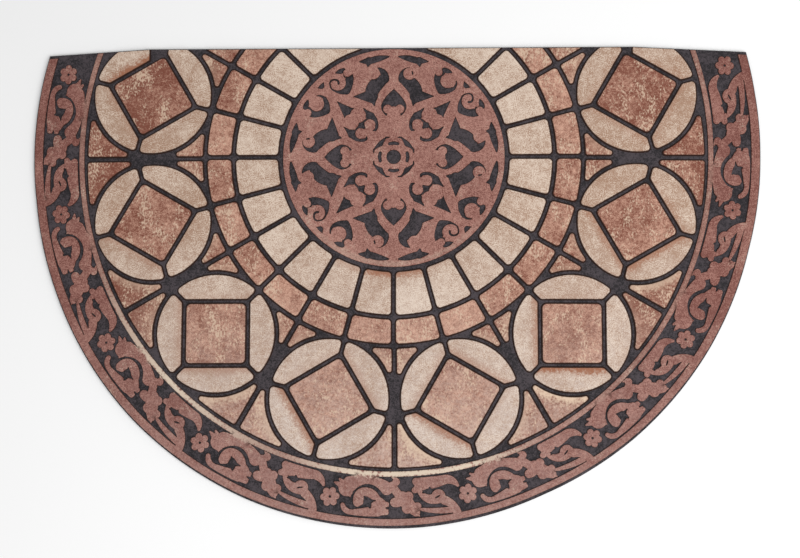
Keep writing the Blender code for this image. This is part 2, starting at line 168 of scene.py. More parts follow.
# Every stroke runs from one spot to another: its bow is the height of its arc, on the left side of
# its run, and its width is given at the start, the middle and the end. A row with only one width is
# a straight stroke that has it everywhere. One repeat of the border, in millimetres along the band
# from its rosette and outwards from the inner strip:
#        along  out   along   out   bow  start middle end
SCROLL = (
    (16.0, 50.0, 29.0, 31.0, -3.4, 10.0, 9.4, 11.0),
    (22.0, 43.2, 57.5, 38.2, 0.9, 7.5, 6.6, 3.6),
    (35.0, 25.6, 35.8, 25.8, 16.4),
    (36.0, 27.2, 57.9, 16.9, 4.9, 14.0, 9.5, 6.0),
    (10.0, 16.9, 23.5, 7.5, -2.2, 4.0, 9.0, 11.0),
    (22.0, 7.4, 57.0, 9.4, 0.6, 10.5, 14.0, 15.0),
    (58.0, 15.0, 63.6, 16.0, 0.0, 8.0, 7.6, 7.4),
    (57.0, 7.0, 61.5, 6.2, 9.0),
    (63.5, 41.2, 79.0, 23.8, 0.0, 10.0, 15.0, 15.0),
    (59.8, 45.6, 67.2, 38.8, 0.0, 2.0, 7.0, 10.0),
    (73.4, 36.2, 73.8, 36.0, 12.4),
    (61.0, 34.4, 68.5, 35.0, 9.0),
    (70.9, 22.5, 71.3, 22.5, 11.2),
    (84.0, 28.8, 88.3, 29.0, 0.0, 11.5, 11.5, 11.0),
    (80.0, 25.0, 91.0, 10.5, 0.0, 12.0, 10.0, 11.0),
    (86.0, 5.6, 86.4, 5.6, 9.5),
    (86.0, 3.0, 92.0, 0.6, 0.0, 5.0, 3.4, 1.0),
    (98.9, 14.0, 99.3, 14.0, 12.4),
    (98.0, 13.0, 144.0, 11.0, -8.0, 16.0, 10.0, 19.0),
    (145.2, 19.5, 154.0, 14.5, 1.0, 12.0, 13.4, 9.0),
    (144.0, 21.0, 141.8, 25.4, 0.0, 9.0, 5.0, 1.6),
    (152.0, 14.0, 163.5, 11.5, 0.0, 9.0, 6.0, 2.0),
    (153.0, 10.0, 157.8, 7.0, 0.0, 6.0, 4.4, 3.0),
    (102.0, 35.0, 112.0, 36.0, 0.0, 15.0, 16.0, 14.0),
    (97.8, 40.6, 106.0, 39.5, 0.0, 6.0, 8.0, 10.0),
    (97.4, 31.0, 104.0, 33.0, 0.0, 5.5, 9.0, 12.0),
    (104.0, 31.0, 110.0, 26.0, 0.0, 12.0, 11.0, 10.0),
    (108.0, 38.5, 141.5, 42.6, 0.7, 14.0, 9.6, 6.0),
    (141.0, 42.4, 149.5, 35.5, 1.5, 6.4, 6.5, 5.5),
    (109.1, 27.2, 122.2, 18.1, -2.1, 9.5, 10.6, 10.5),
    (122.2, 18.1, 131.6, 30.0, -4.1, 10.5, 12.6, 12.5),
)
SCROLL_CUTS = (
    (33.9, 25.0, 39.1, 27.1, 0.0, 1.0, 1.6, 1.0),
    (41.0, 17.6, 54.0, 19.4, -0.6, 1.5, 4.4, 1.2),
    (44.5, 17.0, 45.0, 14.8, 0.0, 5.0, 3.5, 2.0),
    (67.5, 10.6, 63.8, 10.8, 0.0, 3.2, 2.2, 0.8),
    (93.6, 35.6, 98.6, 35.4, 0.0, 4.0, 2.6, 0.8),
    (117.2, 35.6, 119.8, 28.8, 0.0, 2.0, 5.5, 6.0),
    (111.0, 27.4, 118.5, 28.0, 0.0, 0.8, 2.4, 5.0),
    (119.0, 29.5, 125.4, 23.0, 0.0, 7.0, 5.0, 0.8),
    (121.0, 30.4, 137.6, 38.6, 0.9, 4.0, 1.4, 1.6),
)

# One eighth of the medallion, in millimetres across and outwards along the axis of its ogee. The
# disc starts solid. Each list is cut or raised in turn, and is turned to the four quarters. The
# volutes differ in the two halves of a quarter, so their lists are for one half each.
#        across  out  across  out   bow  start middle end
MEDALLION_CUTS = (
    # slot along the rim
    (6.5, 125.8, 28.0, 120.8, 0.5, 2.0, 7.2, 8.0),
    (28.0, 120.8, 42.5, 119.4, 0.0, 8.0, 6.4, 0.8),
    (31.0, 120.0, 32.0, 113.0, 0.0, 10.5, 5.6, 0.8),
    # hook beside the stem
    (19.5, 111.6, 10.5, 97.0, -2.6, 1.2, 8.0, 9.5),
    (12.0, 99.0, 28.0, 79.0, 2.5, 9.0, 17.0, 15.0),
    (12.0, 96.0, 21.0, 84.0, 0.0, 9.4, 8.6, 8.0),
    (27.0, 79.0, 23.8, 64.2, 0.0, 15.0, 8.5, 1.2),
    (28.0, 76.0, 49.0, 75.6, 0.0, 17.0, 9.0, 0.6),
    # ogee
    (0.0, 84.3, 0.0, 64.0, 0.0, 1.0, 20.6, 31.0),
    # recess between the leaf and the large volute
    (54.5, 98.0, 58.3, 83.0, -0.5, 10.0, 10.4, 9.5),
    (59.0, 82.5, 73.5, 85.0, -0.8, 8.0, 7.4, 4.0),
    (62.3, 108.6, 71.8, 105.4, 0.0, 6.0, 5.4, 0.8),
    (62.0, 109.0, 60.0, 101.5, 0.0, 4.0, 3.4, 4.0),
    (52.0, 100.0, 51.0, 103.4, 0.0, 4.5, 2.6, 0.8),
    # small triangle at the rim
    (86.8, 92.6, 89.0, 87.8, 0.0, 1.2, 4.6, 4.6),
    (88.5, 87.6, 93.6, 86.8, 0.0, 4.0, 2.6, 0.8),
    # inside the arch: triangle, crescent, link and diamond
    (69.3, 69.3, 58.0, 58.0, 0.0, 0.8, 6.2, 12.5),
    (54.5, 60.0, 48.6, 60.3, 0.0, 4.4, 2.6, 0.8),
    (37.0, 60.8, 28.0, 51.5, 0.5, 0.8, 5.0, 9.0),
    (29.5, 51.0, 21.0, 40.0, -1.2, 10.0, 8.0, 4.4),
    (21.0, 40.0, 22.4, 33.6, -0.7, 4.2, 3.6, 2.8),
    (22.2, 33.6, 24.8, 33.2, 0.0, 2.8, 2.4, 1.6),
    (31.0, 48.0, 36.5, 44.5, 0.0, 3.0, 2.2, 3.0),
    (41.5, 41.5, 36.4, 36.4, 0.0, 8.0, 8.6, 3.0),
    # round the eye
    (0.0, 17.3, 5.0, 16.4, 0.0, 4.1, 4.0, 3.6),
    (8.5, 24.6, 16.2, 16.2, 0.45, 1.0, 3.4, 6.4),
    (5.4, 24.4, 9.4, 24.2, 0.0, 1.0, 1.6, 1.8),
)
PLAIN_CUTS = (
    (70.0, 83.5, 76.8, 94.5, -2.6, 3.4, 2.8, 1.0),
)
MEDALLION_LEAVES = (
    (0.0, 46.0, 0.0, 52.0, 0.0, 22.0, 20.0, 17.0),
    (0.0, 58.8, 0.2, 59.0, 8.6),
    (7.3, 59.7, 7.5, 59.7, 11.4),
    (29.1, 40.5, 29.3, 40.5, 13.4),
    (43.5, 52.0, 44.0, 52.4, 19.0),
)
PLAIN_LEAVES = (
    (19.3, 104.2, 19.7, 104.2, 15.4),
    (66.4, 94.8, 66.8, 94.8, 18.4),
    (55.0, 106.0, 55.5, 105.8, 9.6),
)
CURLED_LEAVES = (
    (25.0, 105.0, 31.0, 106.0, 0.0, 15.6, 16.0, 14.0),
    (68.8, 93.0, 69.2, 93.0, 19.6),
    (57.0, 105.6, 57.5, 105.4, 10.0),
)
PLAIN_LINES = (
    (23.2, 103.8, 22.6, 107.0, 0.0, 1.8, 1.6, 1.2),
)
CURLED_LINES = (
    (72.6, 82.8, 78.4, 89.5, -1.3, 1.6, 1.4, 1.4),
    (78.4, 89.5, 72.8, 97.0, -2.8, 1.4, 1.7, 2.0),
    (72.8, 97.0, 68.0, 91.8, -1.8, 2.0, 2.3, 2.4),
)
EYE_RADIUS = 8.8

# How each print is made up, with sizes in millimetres:
#   colours  light, deep, edge, fade_and_sheen and flecks
#   layers   (size, strength) of the noises that mix light and deep
#   mood     how much a tile's mood changes that mix
#   fade_and_sheen  where the paler, greyer tone begins and where it is full, along the frame's y,
#                    and its strength; the tone is partly the print's own fading, partly a painted
#                    sheen
#   edge     how far the noise moves the band along a tile's edge, where it is full, where it ends
#   flecks   (size, strength) of the flecks' noises
#   drawn    below one it makes the flecks longer along the frame's y
PRINTS = {
    "cream": {
        "colours": ("cream_light", "cream_deep", "cream_burnt", "cream_faded_and_sheen", "cream_light"),
        "layers": ((1.3, 3.3), (4.5, 1.0), (18.0, 0.8), (90.0, 1.1)),
        "mood": 0.12, "fade_and_sheen": (80.0, -160.0, 0.65), "edge": (-14.0, -6.0, 4.0),
        "flecks": ((2.0, 1.0), (30.0, 0.4)), "drawn": 1.0,
    },
    "clay": {
        "colours": ("clay_light", "clay_deep", "clay_pale", "clay_faded_and_sheen", "clay_pale"),
        "layers": ((1.3, 2.0), (3.6, 1.3), (11.0, 1.1), (60.0, 0.9)),
        "mood": 0.12, "fade_and_sheen": (0.0, -240.0, 1.0), "edge": (-16.0, -7.0, 5.0),
        "flecks": ((2.0, 2.3), (16.0, 1.7)), "drawn": 0.6,
    },
    "rose": {
        "colours": ("rose_light", "rose_deep", "rose_pale", "rose_faded_and_sheen", "rose_pale"),
        "layers": ((1.3, 2.8), (3.6, 1.2), (12.0, 0.7), (80.0, 0.8)),
        "mood": 0.20, "fade_and_sheen": (0.0, -260.0, 0.6), "edge": (-9.0, -3.5, 0.5),
        "flecks": ((2.0, 0.9), (24.0, 0.7)), "drawn": 1.0,
    },
}

RAGGED = ((3.0, 1.4), (14.0, 1.0))    # noises that fray the paler tone with its painted sheen, the edge band and the root with its painted shade
NOISE_DETAIL = 2.0
NOISE_ROUGHNESS = 0.6
FLECK_SPAN = (0.62, 0.95)             # of their noise, from no fleck to a full one
FLECK_MOST = 0.75                     # how far a full fleck covers the print
ROOT_SHADE_SPAN = (-0.7, 0.1)               # heights from the top, from the dark root, partly painted shade, to the full colour
ROOT_SHADE_FRAY = 0.4

# Fine grain that is only a bump
#        size  detail  strength  height
TIPS = (0.8, 2.0, 0.35, 0.4)
CRUMBS = (1.4, 3.0, 0.4, 0.3)
RUBBER_TONES = ((1.4, 3.4), (4.0, 2.4), (14.0, 2.0), (60.0, 1.6))

# Moods of the tiles: how pale their print is on the whole, and how far single tiles stray from it.
# Each square's own mood is in UNITS.
RING_MOOD = (0.0, 1.0)
LENS_MOOD = (-1.3, 0.6)
INNER_MOOD = (-1.9, 0.8)
OUTER_MOOD = (-2.7, 0.4)
PRINT_SEED = 11

# (middle, reach, strength) of the stretches of the strip round the field that are worn pale
STRIP_WORN = ((87.0, 26.0, 1.7), (134.0, 30.0, 1.0))
STRIP_WORN_LEAST = 0.1
STRIP_MOOD = -1.1
# How far the wear of the medallion's rim reaches from the turn towards the curve's middle, over how
# many degrees it fades, and how strongly it shows
RIM_WORN = (60.0, 30.0, 0.2)
RIM_MOOD = 0.2

# How finely the plan's curves are followed
ARC_TOLERANCE = 0.06     # most that a chord strays from its arc
STROKE_STEPS = 10
SPECK = 3.0              # smallest area, in square millimetres, that is raised or cut
CHIP = 80.0              # smallest area of a tile cut by the straight edge
PINCH_RADIUS = 0.7       # disc that joins two outlines meeting at a point
OUTLINE_STEP = 0.4       # between the points that distances to an outline are measured from
SAME_SPOT = 0.01
SPOT_DIGITS = 2          # decimals by which a point of an outline is found again in the mesh
LEAST_LEAN = 0.5         # corners sharper than this aren't inset to a full point
STRAIGHT = 100000.0      # radius of an arc that is as good as straight
FAR_LINE = 10000.0       # radius of the arc that stands for a straight burnt edge in the print
SHARP_ANGLE = 60.0       # edges bent by more are shaded sharp

# Stage, in metres and degrees
FLOOR_REACH = 6.0        # from the middle of the floor to its sides
FLOOR_DROP = 0.0002      # between the mat's underside and the floor
LAMP_SIZE = (2.6, 2.0)
LAMP_PLACE = (1.2, -0.9, 2.1)
CAMERA_PLACE = (0.0339, -0.1383, 1.3391)
CAMERA_ANGLES = (6.110, 1.182, 0.049)


def linear(colour):
    """A colour given as hexadecimal sRGB, as linear red, green, blue and alpha."""
    shares = [((colour >> shift) & 255) / 255 for shift in (16, 8, 0)]
    return [s / 12.92 if s <= 0.04045 else ((s + 0.055) / 1.055) ** 2.4 for s in shares] + [1.0]


def paint(name, description, colour):
    """A colour that the user can change."""
    return FloatVectorProperty(name=name, description=description, subtype="COLOR", size=4,
                               min=0.0, max=1.0, default=linear(colour))


class DoormatSizes(bpy.types.PropertyGroup):
    """Sizes of the moulding that the plan doesn't give."""
    relief: FloatProperty(
        name="Relief", description="Height of the flocked tiles above the joints",
        default=1.8 * MM, min=0.0, unit="LENGTH")
    soft_edge: FloatProperty(
        name="Soft edge", description="Width of the rounded edge of a flocked tile",
        default=0.7 * MM, min=0.0, unit="LENGTH")
    soft_drop: FloatProperty(
        name="Edge drop", description="How much lower the flock is at the foot of its rounded edge",
        default=0.6 * MM, min=0.0, unit="LENGTH")
    tile_foot: FloatProperty(
        name="Tile foot", description="How far a tile's wall spreads out at its foot",
        default=2.6 * MM, min=0.0, unit="LENGTH")
    lace_foot: FloatProperty(
        name="Scroll foot", description="How far the wall of a strap or scroll spreads at its foot",
        default=0.5 * MM, min=0.0, unit="LENGTH")
    sink: FloatProperty(
        name="Sink", description="How far a raised piece reaches into the base",
        default=0.5 * MM, min=0.0, unit="LENGTH")


class DoormatColours(bpy.types.PropertyGroup):
    """Colours of the print and the rubber."""
    cream_light: paint("Cream, light", "Palest print of the cream tiles", 0xE0CDBC)
    cream_deep: paint("Cream, deep", "Deepest print of the cream tiles", 0xA4836E)
    cream_burnt: paint("Cream, burnt edge", "Burnt edge of the cream tiles", 0x9C6A52)
    # paler, greyer tone towards the curved edge: the print's own fading with a painted sheen
    cream_faded_and_sheen: paint("Cream, washed", "Cream print near the curved edge", 0xDCD1CA)
    clay_light: paint("Clay, light", "Palest print of the terracotta tiles", 0xCFA38E)
    clay_deep: paint("Clay, deep", "Deepest print of the terracotta tiles", 0x7C4B3D)
    clay_pale: paint("Clay, pale edge", "Pale edge of the terracotta triangles", 0xD8BEA6)
    # paler, greyer tone towards the curved edge: the print's own fading with a painted sheen
    clay_faded_and_sheen: paint("Clay, washed", "Terracotta print near the curved edge", 0xD2BAAD)
    rose_light: paint("Rose, light", "Palest print of the medallion and the border", 0xB4867A)
    rose_deep: paint("Rose, deep", "Deepest print of the medallion and the border", 0x72463F)
    rose_pale: paint("Rose, pale edge", "Worn places on the medallion's rim and the inner strip",
                     0xD6C4B0)
    # paler, greyer tone towards the curved edge: the print's own fading with a painted sheen
    rose_faded_and_sheen: paint("Rose, washed", "Rose print near the curved edge", 0xB3958D)
    rubber: paint("Rubber", "Moulded rubber between the tiles", 0x242124)
    rubber_grain: paint("Rubber grain", "Paler crumbs in the rubber", 0x494246)
    # partly the flock's own dark root, partly painted shade where a tile's edge slopes into a joint
    root: paint("Flock root", "Foot of the flock at a tile's edge", 0x2C1B16)


class DoormatStage(bpy.types.PropertyGroup):
    """Floor, light and camera."""
    lens: FloatProperty(name="Lens", description="Focal length", default=50.0, min=1.0)
    floor: paint("Floor", "Pale floor", 0xFBFBFB)
    soft_light: FloatProperty(
        name="Soft light", description="Power of the large lamp overhead", default=60.0, min=0.0)
    room_light: FloatProperty(
        name="Room light", description="Strength of the light all round", default=0.46, min=0.0)


def spot(radius, turn, middle=0j):
    """The plan point at a radius and a turn about a middle."""
    return middle + cmath.rect(radius, math.radians(turn))


def turn_of(point):
    """The turn of a plan point, from -90 to 270 degrees."""
    return math.degrees(cmath.phase(point * -1j)) + QUARTER


def curve_at(turn):
    """Radii of the field joint, the outer strip and the outline, between the table's rows."""
    row = max(i for i, entry in enumerate(CURVE[:-1]) if entry[0] <= turn or i == 0)
    before, after = CURVE[row], CURVE[row + 1]
    share = (turn - before[0]) / (after[0] - before[0])
    return [low + (high - low) * share for low, high in zip(before[1:], after[1:])]


def rim_spot(turn):
    """The point of the curved outline at a turn."""
    return spot(curve_at(turn)[2], turn)


# Arc-sided cells. A side is (centre, radius, sense): sense is 1 where the cell lies inside the
# circle and -1 where it lies outside, and a cell always has its inside on the left of its run.


def straight(point, heading):
    """A straight side through a point, as an arc so large that it doesn't bend."""
    return (point + 1j * heading * STRAIGHT, STRAIGHT, 1)


def radial(turn, outward):
    """The joint side of a radial joint, run outwards beyond it or inwards before it."""
    heading = spot(1.0, turn) * (1 if outward else -1)
    return straight(1j * heading * JOINT / 2, heading)


def corner(first, second, fillet):
    """Centre of the fillet where one side of a cell turns into the next."""
    reach_a = first[1] - first[2] * fillet
    reach_b = second[1] - second[2] * fillet
    span = abs(second[0] - first[0])
    heading = (second[0] - first[0]) / span
    along = (span * span + reach_a * reach_a - reach_b * reach_b) / (2.0 * span)
    aside = math.sqrt(max(reach_a * reach_a - along * along, 0.0))
    for side in (1, -1):
        point = first[0] + heading * complex(along, side * aside)
        run_a = first[2] * 1j * (point - first[0])
        run_b = second[2] * 1j * (point - second[0])
        if (run_a.conjugate() * run_b).imag > 0:
            return point
    return point


def arc(centre, start, end, sense):
    """Points from start up to but not including end, round a centre."""
    radius = abs(start - centre)
    sweep = cmath.phase((end - centre) / (start - centre))
    if sweep * sense < 0:
        sweep += 2.0 * math.pi * sense
    widest = 2.0 * math.acos(max(1.0 - ARC_TOLERANCE / radius, 0.0))
    steps = max(1, math.ceil(abs(sweep) / widest))
    return [centre + (start - centre) * cmath.exp(1j * sweep * i / steps) for i in range(steps)]


def cell(sides, fillet):
    """Closed outline of a cell with rounded corners."""
    count = len(sides)
    hearts = [corner(sides[i - 1], sides[i], fillet) for i in range(count)]

    def foot(side, heart):
        offset = heart - side[0]
        return side[0] + offset / abs(offset) * side[1]

    points = []
    for i, side in enumerate(sides):
        following = (i + 1) % count
        start = foot(side, hearts[i])
        end = foot(side, hearts[following])
        points += arc(side[0], start, end, side[2])
        points += arc(hearts[following], end, foot(sides[following], hearts[following]), 1)
    return points


def clip(points, point, heading):
    """The part of an outline on the left of a line through a point."""
    kept = []
    for i, here in enumerate(points):
        before = points[i - 1]
        side_before = ((before - point) / heading).imag
        side_here = ((here - point) / heading).imag
        if side_before * side_here < 0:
            kept.append(before + (here - before) * side_before / (side_before - side_here))
        if side_here >= 0:
            kept.append(here)
    return kept


def top_corners():
    """The straight edge's four points, from right to left."""
    level = -CENTRE_DOWN * 1j
    right = rim_spot(CORNER_TURNS[1])
    left = rim_spot(CORNER_TURNS[0])
    return [right, TOP_LEVEL[1] + level, TOP_LEVEL[0] + level, left]


def top_sides():
    """The start and the heading of the straight edge's three sides, from right to left."""
    edge = top_corners()
    return [(start, (end - start) / abs(end - start)) for start, end in zip(edge, edge[1:])]


def trim(points, margin=EDGE_MARGIN):
    """Cut an outline back to a margin inside the straight edge and its sloping ends."""
    for start, heading in top_sides():
        points = clip(points, start - 1j * heading * margin, -heading)
    return points


def held_back(point):
    """A point of a wall's foot, moved back inside the straight edge if it lies beyond it."""
    for start, heading in top_sides():
        beyond = ((point - start) / heading).imag + FOOT_MARGIN
        if beyond > 0:
            point -= 1j * heading * beyond
    return point


# Tiles. Each comes with its burnt edge in the print: the centre and radius of an arc along the tile
# and how strongly it shows.


def ring_tiles(radii, stains):
    inner, outer = [(0j, radius, sense) for radius, sense in zip(radii, (-1, 1))]
    first, last = RING_TURNS
    turns = [first + i * RING_PITCH for i in range(round((last - first) / RING_PITCH) + 1)]
    turns = [first - RING_END] + turns + [last + RING_END]
    return [(cell([radial(start, True), outer, radial(end, False), inner], RING_FILLET),
             (0j, radii[0], stains.get((start + end) / 2, 0.0)))
            for start, end in zip(turns, turns[1:])]


def square_tile(unit):
    turn, radius, rim = unit[:3]
    middle = spot(radius, turn)
    headings = [spot(1.0, turn + DIAGONAL + QUARTER * i) for i in range(4)]
    half = SQUARE_HALF * rim
    return cell([straight(middle - 1j * way * half, way) for way in headings], SQUARE_FILLET)


def lens_tiles(unit):
    turn, radius, rim = unit[:3]
    middle = spot(radius, turn)
    tiles = []
    for quarter, stain in enumerate(unit[4:]):
        outward = spot(1.0, turn + DIAGONAL + QUARTER * quarter)
        early = outward * spot(1.0, -DIAGONAL)
        late = outward * spot(1.0, DIAGONAL)
        chord = LENS_CHORD * rim
        sides = [
            straight(middle + outward * chord, -1j * outward),
            straight(middle + 1j * early * JOINT / 2, early),
            (middle, rim, 1),
            straight(middle - 1j * late * JOINT / 2, -late),
        ]
        edge = (middle + outward * (chord - FAR_LINE), FAR_LINE, stain)
        tiles.append((cell(sides, LENS_FILLET), edge))
    return tiles


def spandrel_tiles(before, after, pales):
    """The triangles beside the radial joint between two circle units: two inner and two outer."""
    turn = (before[0] + after[0]) / 2
    ring = (0j, FIELD_INNER, -1)
    field = (0j, curve_at(turn)[0] - FIELD_JOINT / 2, 1)
    early, late = [(spot(unit[1], unit[0]), unit[2] + UNIT_JOINT, -1) for unit in (before, after)]
    cells = [
        ([radial(turn, True), late, ring], late, INNER_PALE),
        ([radial(turn, False), ring, early], early, INNER_PALE),
        ([radial(turn, False), early, field], early, pales[0]),
        ([radial(turn, True), field, late], late, pales[1]),
    ]
    return [(cell(sides, SPANDREL_FILLET), (edge[0], edge[1], pale))
            for sides, edge, pale in cells]


# Ornament, painted as overlapping shapes


def stroke(row):
    """Outline of a bowed, tapering stroke with round ends, from one row of a table."""
    start = complex(row[0], row[1])
    end = complex(row[2], row[3])
    bow, wide_start, wide_middle, wide_end = row[4:] if len(row) > 5 else (0.0,) + row[4:] * 3
    heading = (end - start) / abs(end - start)
    left = []
    right = []
    for i in range(STROKE_STEPS + 1):
        share = i / STROKE_STEPS
        lift = 4.0 * bow * share * (1.0 - share)
        slope = 4.0 * bow * (1.0 - 2.0 * share) / abs(end - start)
        point = start + (end - start) * share + 1j * heading * lift
        across = 1j * heading * cmath.exp(1j * math.atan(slope))
        near = wide_start * (1.0 - share) * (1.0 - 2.0 * share)
        far = wide_end * share * (2.0 * share - 1.0)
        half = (near + 4.0 * wide_middle * share * (1.0 - share) + far) / 2.0
        left.append(point + across * half)
        right.append(point - across * half)
    start_cap = arc((left[0] + right[0]) / 2, left[0], right[0], 1)
    end_cap = arc((left[-1] + right[-1]) / 2, right[-1], left[-1], 1)
    return start_cap + right[:-1] + end_cap + list(reversed(left))[:-1]


def disc(middle, radius):
    start = middle + radius
    return arc(middle, start, middle - radius, 1) + arc(middle, middle - radius, start, 1)


def area_of(points):
    """Signed area inside a closed outline."""
    return sum((a.conjugate() * b).imag for a, b in zip(points, points[1:] + points[:1])) / 2


def meshed(outlines, ridges=()):
    """Triangles of the plan that lie in any of the outlines, and which ones each lies in.

    The triangles' edges also follow the ridges, closed lines that bound nothing.
    """
    verts = []
    loops = []
    edges = []
    for i, line in enumerate([*outlines, *ridges]):
        loop = list(range(len(verts), len(verts) + len(line)))
        verts += [Vector((point.real, point.imag)) for point in line]
        if i < len(outlines):
            loops.append(loop if area_of(line) > 0 else loop[::-1])
        else:
            edges += list(zip(loop, loop[1:] + loop[:1]))
    spots, _, pieces, _, _, owners = delaunay_2d_cdt(verts, edges, loops, 1, SAME_SPOT)
    return [complex(*place) for place in spots], pieces, owners


def painted(layers):
    """Outlines of the raised area after painting (outline, raised) layers one over the other.

    Where two outlines meet at a point, a small disc joins them.
    """
    spots, pieces, owners = meshed([outline for outline, _ in layers])
    raised = [piece for piece, owner in zip(pieces, owners) if owner and layers[max(owner)][1]]
    edges = {(a, b) for piece in raised for a, b in zip(piece, piece[1:] + piece[:1])}
    border = [(a, b) for a, b in edges if (b, a) not in edges]
    after = dict(border)
    pinches = [a for a, b in border if after[a] != b]
    if pinches:
        return painted(layers + [(disc(spots[i], PINCH_RADIUS), True) for i in sorted(pinches)])
    outlines = []
    for first in sorted(after):
        loop = []
        here = first
        while here in after:
            loop.append(spots[here])
            here = after.pop(here)
        if abs(area_of(loop)) > SPECK:
            outlines.append(loop)
    return outlines


def band_spot(point, start, end):
    """A chart point of the border bent into its place between two rosettes."""
    turn = start + (end - start) * point.real / REPEAT
    joint, _, outline = curve_at(turn)
    inner = joint + FIELD_JOINT / 2 + STRIP_INNER
    return spot(inner + point.imag * (outline - inner) / BAND_NOMINAL, turn)


def rosette():
    """Chart outlines of the flower that starts each repeat."""
    middle = complex(0.0, ROSETTE_OUT)
    turns = [PETAL_TURN + 360.0 * i / PETALS for i in range(PETALS)]
    petals = [disc(spot(PETAL_REACH, turn, middle), PETAL_SIZE / 2) for turn in turns]
    return [disc(middle, PETAL_REACH)] + petals


def strip(inner, outer):
    """A narrow band along the curve, between two functions of the turn, past the straight edge."""
    first = CORNER_TURNS[1] - STRIP_OVER
    count = round((CORNER_TURNS[0] + STRIP_OVER - first) / CURVE_STEP)
    turns = [first + i * CURVE_STEP for i in range(count + 1)]
    near = [spot(inner(turn), turn) for turn in turns]
    far = [spot(outer(turn), turn) for turn in turns]
    return near + far[::-1]


def border_layers():
    """Strips, scrolls and rosettes of the whole border."""
    def field(turn):
        return curve_at(turn)[0] + FIELD_JOINT / 2

    inner = strip(field, lambda turn: field(turn) + STRIP_INNER)
    outer = strip(lambda turn: curve_at(turn)[2] - STRIP_OUTER, lambda turn: curve_at(turn)[1])
    layers = [(trim(inner), True), (trim(outer, STRIP_MARGIN), True)]
    scroll = [(stroke(row), True) for row in SCROLL]
    scroll += [(stroke(row), False) for row in SCROLL_CUTS]
    flower = [(shape, True) for shape in rosette()]
    flower.append((disc(complex(0.0, ROSETTE_OUT), PETAL_EYE), False))
    last = ROSETTE_TURNS[-1]
    spans = list(zip(ROSETTE_TURNS, ROSETTE_TURNS[1:])) + [(last, 2 * last - ROSETTE_TURNS[-2])]
    for start, end in spans:
        shapes = flower if start == last else flower + scroll
        for shape, raised in shapes:
            bent = [band_spot(point, start, end) for point in shape]
            layers.append((trim(bent), raised))
    return layers


def eighths(rows, halves=(1, -1)):
    """Outlines of an eighth's rows in one or both halves of a quarter, for all four quarters."""
    shapes = []
    for row in rows:
        for half in halves:
            shape = [complex(half * point.real, point.imag) for point in stroke(row)]
            shapes += [[point * 1j ** quarter for point in shape] for quarter in range(4)]
    return shapes


def medallion_layers():
    layers = [(disc(0j, MEDALLION), True)]
    for rows, halves, raised in (
        (MEDALLION_CUTS, (1, -1), False), (PLAIN_CUTS, (-1,), False),
        (MEDALLION_LEAVES, (1, -1), True), (PLAIN_LEAVES, (-1,), True), (CURLED_LEAVES, (1,), True),
        (PLAIN_LINES, (-1,), False), (CURLED_LINES, (1,), False),
    ):
        layers += [(shape, raised) for shape in eighths(rows, halves)]
    layers.append((disc(0j, EYE_RADIUS), False))
    return [(trim(shape), raised) for shape, raised in layers]


def base_outline():
    """Outline of the whole mat."""
    count = math.ceil((CORNER_TURNS[0] - CORNER_TURNS[1]) / CURVE_STEP)
    curve = [rim_spot(CORNER_TURNS[1] + i * CURVE_STEP) for i in range(count)]
    return curve + top_corners()[:0:-1]


# Embossed pieces


def placed(point, height, middle):
    """A plan point in the frame of the solids, in metres."""
    return ((point.real - middle.real) * MM, (middle.imag - point.imag) * MM, height)


def plan_middle():
    """Middle of the outline's box, which is the frame's zero."""
    outline = base_outline()
    across = [point.real for point in outline]
    down = [point.imag for point in outline]
    return complex(min(across) + max(across), min(down) + max(down)) / 2


def inset(loop, depth):
    """An outline moved in by a depth, on its left."""
    moved = []
    for i, here in enumerate(loop):
        run_in = here - loop[i - 1]
        run_out = loop[(i + 1) % len(loop)] - here
        heading = run_in / abs(run_in) + run_out / abs(run_out)
        if abs(heading) < LEAST_LEAN:
            heading = run_in
        heading /= abs(heading)
        lean = max((run_in.conjugate() * heading).real / abs(run_in), LEAST_LEAN)
        moved.append(here + 1j * heading * depth / lean)
    return moved


def tree_of(outlines):
    """A search tree of points set close together along the outlines."""
    places = []
    for loop in outlines:
        for here, after in zip(loop, loop[1:] + loop[:1]):
            steps = math.ceil(abs(after - here) / OUTLINE_STEP)
            places += [here + (after - here) * i / steps for i in range(steps)]
    tree = KDTree(len(places))
    for i, place in enumerate(places):
        tree.insert((place.real, place.imag, 0.0), i)
    tree.balance()
    return tree


def address(point):
    """A plan point rounded, so that it can be found again."""
    return round(point.real, SPOT_DIGITS), round(point.imag, SPOT_DIGITS)


def carry_prints(mesh, owned, prints, middle):
    """Give a mesh's points two attributes, their burnt edge and their mood.

    owned has, for each two points one over the other, the first one, its tile and its plan point.
    """
    edge_data = mesh.attributes.new("burnt_edge", "FLOAT_VECTOR", "POINT").data
    mood_data = mesh.attributes.new("mood", "FLOAT_VECTOR", "POINT").data
    for first, tile, point in owned:
        (centre, radius, strength), mood = prints(tile, point)
        x, y, _ = placed(centre, 0.0, middle)
        for i in (first, first + 1):
            edge_data[i].vector = (x, y, radius * MM)
            mood_data[i].vector = (mood, 0.0, strength)


